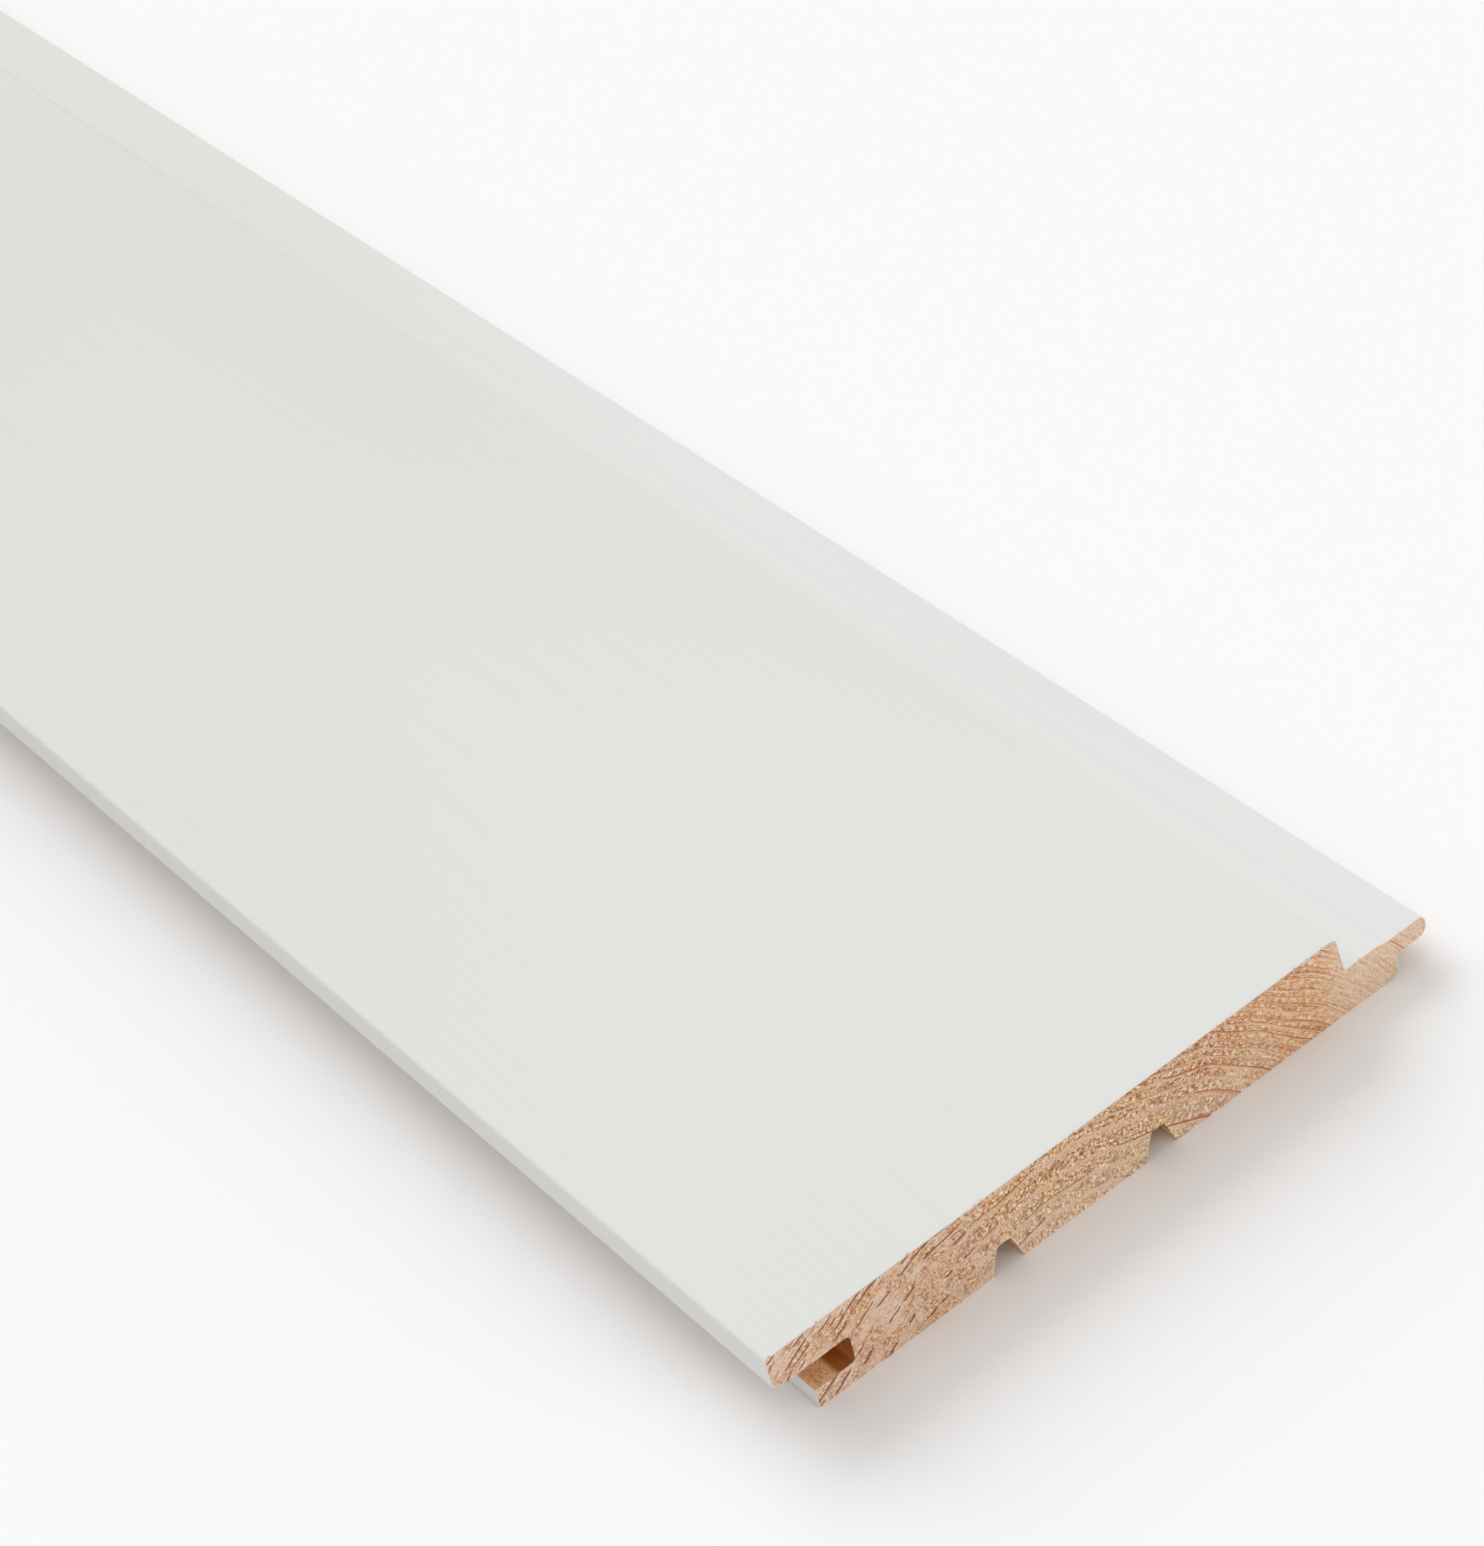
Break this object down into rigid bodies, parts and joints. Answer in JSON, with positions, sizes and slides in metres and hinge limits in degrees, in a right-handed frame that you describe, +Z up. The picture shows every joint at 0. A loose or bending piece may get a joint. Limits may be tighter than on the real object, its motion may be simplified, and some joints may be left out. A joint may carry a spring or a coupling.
{
  "type": "tongue and groove board",
  "caption": "Straight softwood cladding board, painted on its face and edges, with a shadow-gap tongue and groove joint along its sides and relief grooves in its bare back.",
  "frame": {"origin": "middle of the back, on the surface that the board lies on", "axes": "+X across the board from the grooved edge to the tongue, +Y along its length, +Z up out of the painted face"},
  "size_m": [0.12, 2.4, 0.015],
  "materials": {
    "painted_softwood": "satin"
  },
  "bodies": {
    "root": {"board": "painted_softwood"}
  },
  "joints": []
}
